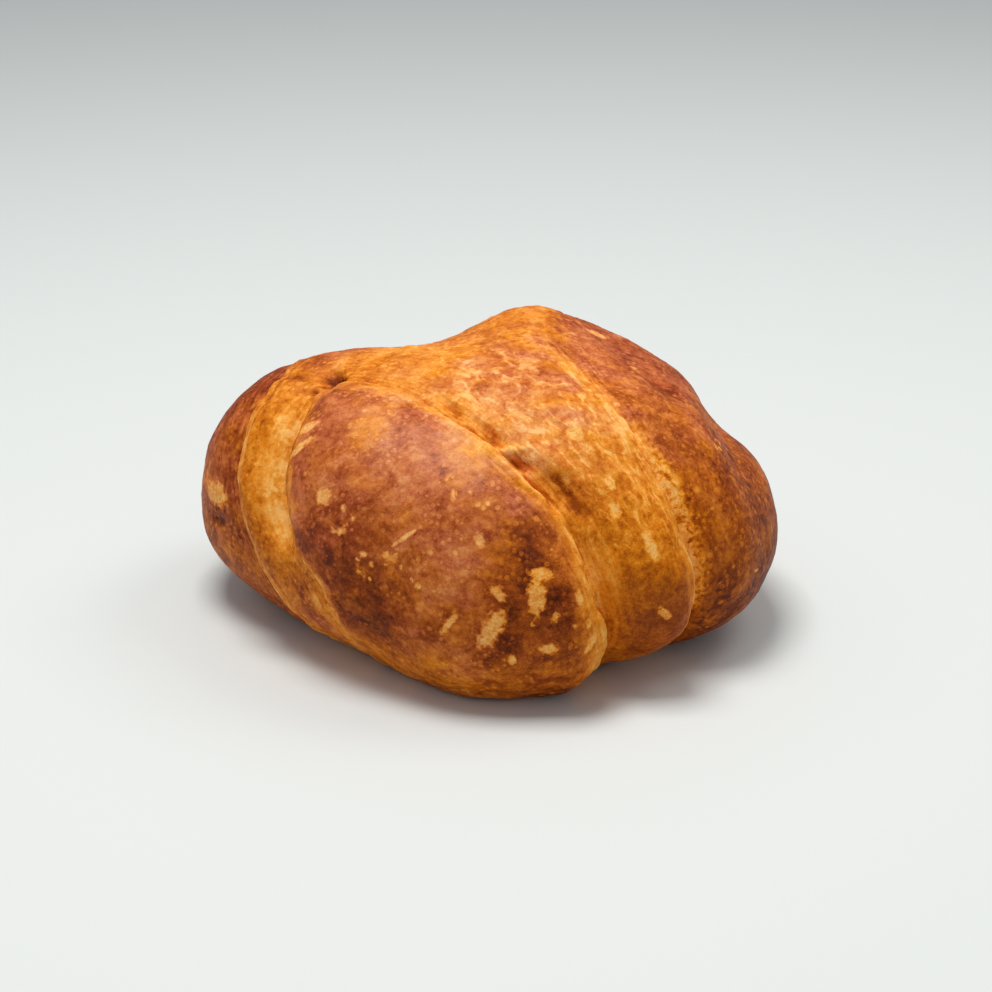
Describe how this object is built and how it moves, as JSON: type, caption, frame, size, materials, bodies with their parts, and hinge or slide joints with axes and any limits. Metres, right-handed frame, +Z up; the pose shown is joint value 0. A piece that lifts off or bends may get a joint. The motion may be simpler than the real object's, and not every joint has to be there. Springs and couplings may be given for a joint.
{
  "type": "croissant",
  "caption": "Plump baked croissant, a crescent of rolled flaky dough with a broad wrapped flap, lying on its flat base.",
  "frame": {"origin": "middle of the bounding box, at the level of the flat base it rests on", "axes": "+X along its length towards the right end, -Y towards the convex side with the wrapped flap, +Z up"},
  "size_m": [0.1498, 0.1172, 0.0731],
  "materials": {
    "baked_crust": "satin egg-washed crust, dark brown on the domes and pale golden in the seams"
  },
  "bodies": {
    "root": {"croissant": "baked_crust"}
  },
  "joints": []
}
